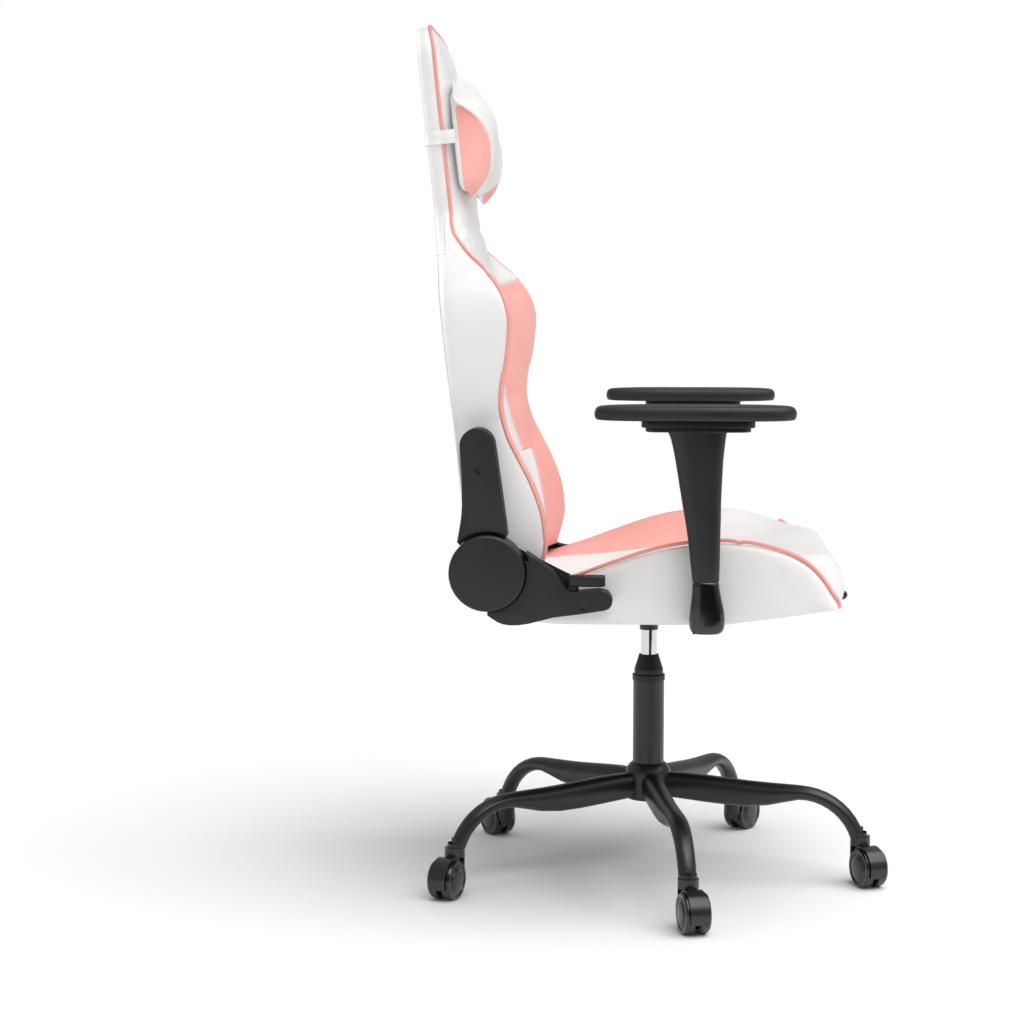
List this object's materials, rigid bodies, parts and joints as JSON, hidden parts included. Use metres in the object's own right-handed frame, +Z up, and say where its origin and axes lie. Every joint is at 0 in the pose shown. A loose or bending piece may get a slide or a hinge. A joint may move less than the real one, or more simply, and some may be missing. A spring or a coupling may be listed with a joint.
{
  "type": "reclining bucket chair",
  "caption": "High-backed bucket seat chair with winged cushions, a strapped head pillow, fixed armrests, a reclining back and a gas-lift column on a caster base.",
  "frame": {"origin": "on the floor, on the axis of the gas-lift column", "axes": "the sitter faces -Y, +X is to the sitter's left, +Z is up"},
  "size_m": [0.647, 0.6035, 1.1079],
  "materials": {
    "black_powder_coat": "satin black powder coat",
    "black_steel": "matt black paint",
    "bright_steel": "ground steel",
    "zinc_bolts": "blackened zinc plate",
    "chrome": "polished chrome plate",
    "satin_plastic": "fine-grained satin black plastic",
    "bush_plastic": "grey acetal",
    "gloss_plastic": "smooth semi-gloss black plastic",
    "white_leather_seat": "white coated leather with salmon pink panels, over foam",
    "white_leather_back": "white coated leather with salmon pink panels, over foam",
    "pillow_leather": "white and salmon pink coated leather, stuffed",
    "elastic_strap": "white woven elastic",
    "armpad_foam": "soft satin black polyurethane skin"
  },
  "bodies": {
    "base": {"base_hub": "black_powder_coat", "leg_1": "black_powder_coat", "leg_2": "black_powder_coat", "leg_3": "black_powder_coat", "leg_4": "black_powder_coat", "leg_5": "black_powder_coat", "column_tube": "black_powder_coat", "dust_cap": "satin_plastic", "guide_bush": "bush_plastic", "thrust_bearing": "bright_steel"},
    "lift_rod": {"piston_rod": "bright_steel"},
    "seat": {"gas_cylinder": "chrome", "seat_plate": "black_steel", "seat_pan": "black_steel", "seat_cushion": "white_leather_seat", "seat_bolts": "zinc_bolts", "arm_bars": "black_steel", "arm_feet": "gloss_plastic", "arm_post_left": "satin_plastic", "arm_post_right": "satin_plastic", "pad_plates": "satin_plastic", "armpad_left": "armpad_foam", "armpad_right": "armpad_foam", "seat_brackets": "black_steel", "seat_cover_left": "satin_plastic", "seat_cover_right": "satin_plastic", "hinge_pins": "zinc_bolts"},
    "backrest": {"back_frame": "black_steel", "back_cushion": "white_leather_back", "head_pillow": "pillow_leather", "pillow_strap": "elastic_strap", "back_brackets": "black_steel", "back_cover_left": "satin_plastic", "back_cover_right": "satin_plastic", "hinge_caps": "satin_plastic", "back_bolts": "zinc_bolts"},
    "recline_lever": {"recline_lever": "satin_plastic"},
    "lift_lever": {"lift_lever": "black_steel", "lift_grip": "satin_plastic"},
    "release_pin": {"release_pin": "bright_steel"},
    "caster_1": {"caster_hood_1": "gloss_plastic", "caster_pins_1": "bright_steel"},
    "wheel_left_1": {"wheel_left_1": "gloss_plastic"},
    "wheel_right_1": {"wheel_right_1": "gloss_plastic"},
    "caster_2": {"caster_hood_2": "gloss_plastic", "caster_pins_2": "bright_steel"},
    "wheel_left_2": {"wheel_left_2": "gloss_plastic"},
    "wheel_right_2": {"wheel_right_2": "gloss_plastic"},
    "caster_3": {"caster_hood_3": "gloss_plastic", "caster_pins_3": "bright_steel"},
    "wheel_left_3": {"wheel_left_3": "gloss_plastic"},
    "wheel_right_3": {"wheel_right_3": "gloss_plastic"},
    "caster_4": {"caster_hood_4": "gloss_plastic", "caster_pins_4": "bright_steel"},
    "wheel_left_4": {"wheel_left_4": "gloss_plastic"},
    "wheel_right_4": {"wheel_right_4": "gloss_plastic"},
    "caster_5": {"caster_hood_5": "gloss_plastic", "caster_pins_5": "bright_steel"},
    "wheel_left_5": {"wheel_left_5": "gloss_plastic"},
    "wheel_right_5": {"wheel_right_5": "gloss_plastic"}
  },
  "joints": [
    {"name": "seat_swivel", "type": "hinge", "parent": "base", "child": "lift_rod", "pos_m": [0, 0, 0.2], "axis": [0, 0, 1], "continuous": true},
    {"name": "seat_lift", "type": "slide", "parent": "lift_rod", "child": "seat", "axis": [0, 0, 1], "range_m": [0, 0.1]},
    {"name": "recline", "type": "hinge", "parent": "seat", "child": "backrest", "pos_m": [0, 0.192, 0.434], "axis": [-1, 0, 0], "range_deg": [0, 45]},
    {"name": "recline_lever_lift", "type": "hinge", "parent": "seat", "child": "recline_lever", "pos_m": [-0.2774, 0.097, 0.398], "axis": [-1, 0, 0], "range_deg": [0, 14], "stiffness_Nm_per_rad": 0.5, "springref_deg": -17.19},
    {"name": "lift_lever_pull", "type": "hinge", "parent": "seat", "child": "lift_lever", "pos_m": [0.02185, -0.02605, 0.355], "axis": [-0.766, -0.6428, 0], "range_deg": [0, 3.5], "stiffness_Nm_per_rad": 5, "springref_deg": -5.73},
    {"name": "release_pin_press", "type": "slide", "parent": "seat", "child": "release_pin", "axis": [0, 0, -1], "range_m": [0, 0.0021]},
    {"name": "caster_1_swivel", "type": "hinge", "parent": "base", "child": "caster_1", "pos_m": [-0.1336, 0.24607, 0.06], "axis": [0, 0, 1], "continuous": true},
    {"name": "wheel_left_1_roll", "type": "hinge", "parent": "caster_1", "child": "wheel_left_1", "pos_m": [-0.15493, 0.25468, 0.025], "axis": [0.3746, 0.9272, 0], "continuous": true},
    {"name": "wheel_right_1_roll", "type": "hinge", "parent": "caster_1", "child": "wheel_right_1", "pos_m": [-0.15493, 0.25468, 0.025], "axis": [0.3746, 0.9272, 0], "continuous": true},
    {"name": "caster_2_swivel", "type": "hinge", "parent": "base", "child": "caster_2", "pos_m": [-0.27531, -0.05103, 0.06], "axis": [0, 0, 1], "continuous": true},
    {"name": "wheel_left_2_roll", "type": "hinge", "parent": "caster_2", "child": "wheel_left_2", "pos_m": [-0.29742, -0.05737, 0.025], "axis": [-0.2756, 0.9613, 0], "continuous": true},
    {"name": "wheel_right_2_roll", "type": "hinge", "parent": "caster_2", "child": "wheel_right_2", "pos_m": [-0.29742, -0.05737, 0.025], "axis": [-0.2756, 0.9613, 0], "continuous": true},
    {"name": "caster_3_swivel", "type": "hinge", "parent": "base", "child": "caster_3", "pos_m": [-0.03655, -0.2776, 0.06], "axis": [0, 0, 1], "continuous": true},
    {"name": "wheel_left_3_roll", "type": "hinge", "parent": "caster_3", "child": "wheel_left_3", "pos_m": [-0.05756, -0.28696, 0.025], "axis": [-0.4067, 0.9135, 0], "continuous": true},
    {"name": "wheel_right_3_roll", "type": "hinge", "parent": "caster_3", "child": "wheel_right_3", "pos_m": [-0.05756, -0.28696, 0.025], "axis": [-0.4067, 0.9135, 0], "continuous": true},
    {"name": "caster_4_swivel", "type": "hinge", "parent": "base", "child": "caster_4", "pos_m": [0.25272, -0.12054, 0.06], "axis": [0, 0, 1], "continuous": true},
    {"name": "wheel_left_4_roll", "type": "hinge", "parent": "caster_4", "child": "wheel_left_4", "pos_m": [0.27156, -0.13373, 0.025], "axis": [-0.5736, -0.8192, 0], "continuous": true},
    {"name": "wheel_right_4_roll", "type": "hinge", "parent": "caster_4", "child": "wheel_right_4", "pos_m": [0.27156, -0.13373, 0.025], "axis": [-0.5736, -0.8192, 0], "continuous": true},
    {"name": "caster_5_swivel", "type": "hinge", "parent": "base", "child": "caster_5", "pos_m": [0.19274, 0.20311, 0.06], "axis": [0, 0, 1], "continuous": true},
    {"name": "wheel_left_5_roll", "type": "hinge", "parent": "caster_5", "child": "wheel_left_5", "pos_m": [0.21158, 0.2163, 0.025], "axis": [0.5736, -0.8192, 0], "continuous": true},
    {"name": "wheel_right_5_roll", "type": "hinge", "parent": "caster_5", "child": "wheel_right_5", "pos_m": [0.21158, 0.2163, 0.025], "axis": [0.5736, -0.8192, 0], "continuous": true}
  ],
  "couplings": [
    {"joint": "release_pin_press", "follows": "lift_lever_pull", "m_per_rad": 0.034}
  ]
}
